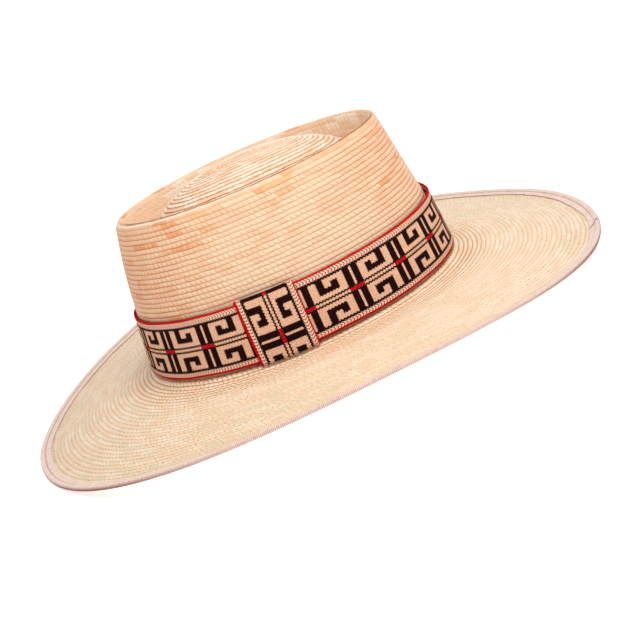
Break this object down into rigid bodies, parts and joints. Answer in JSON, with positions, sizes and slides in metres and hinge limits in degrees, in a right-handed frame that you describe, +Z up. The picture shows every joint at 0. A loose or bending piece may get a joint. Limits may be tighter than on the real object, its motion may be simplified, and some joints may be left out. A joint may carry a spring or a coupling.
{
  "type": "gambler hat",
  "caption": "Palm straw hat with a low telescope crown, a wide saddle-shaped brim bound with tape, and a woven fret band held by a keeper.",
  "frame": {"origin": "middle of the footprint on the surface that the brim tips rest on", "axes": "+Z up, +Y towards the back of the hat, +X towards the wearer's left side, which carries the keeper"},
  "size_m": [0.3504, 0.391, 0.1241],
  "materials": {
    "crown_straw": "sewn palm braid, pale honey straw with ochre strands",
    "brim_straw": "sewn palm braid, pale cream straw",
    "edge_tape": "ribbed cotton grosgrain tape, pinkish beige, matt",
    "woven_band": "warp-faced weave in black, cream and red, matt"
  },
  "bodies": {
    "root": {"crown": "crown_straw", "crown_top": "crown_straw", "brim": "brim_straw", "brim_binding": "edge_tape", "hat_band": "woven_band", "band_keeper": "woven_band"}
  },
  "joints": []
}
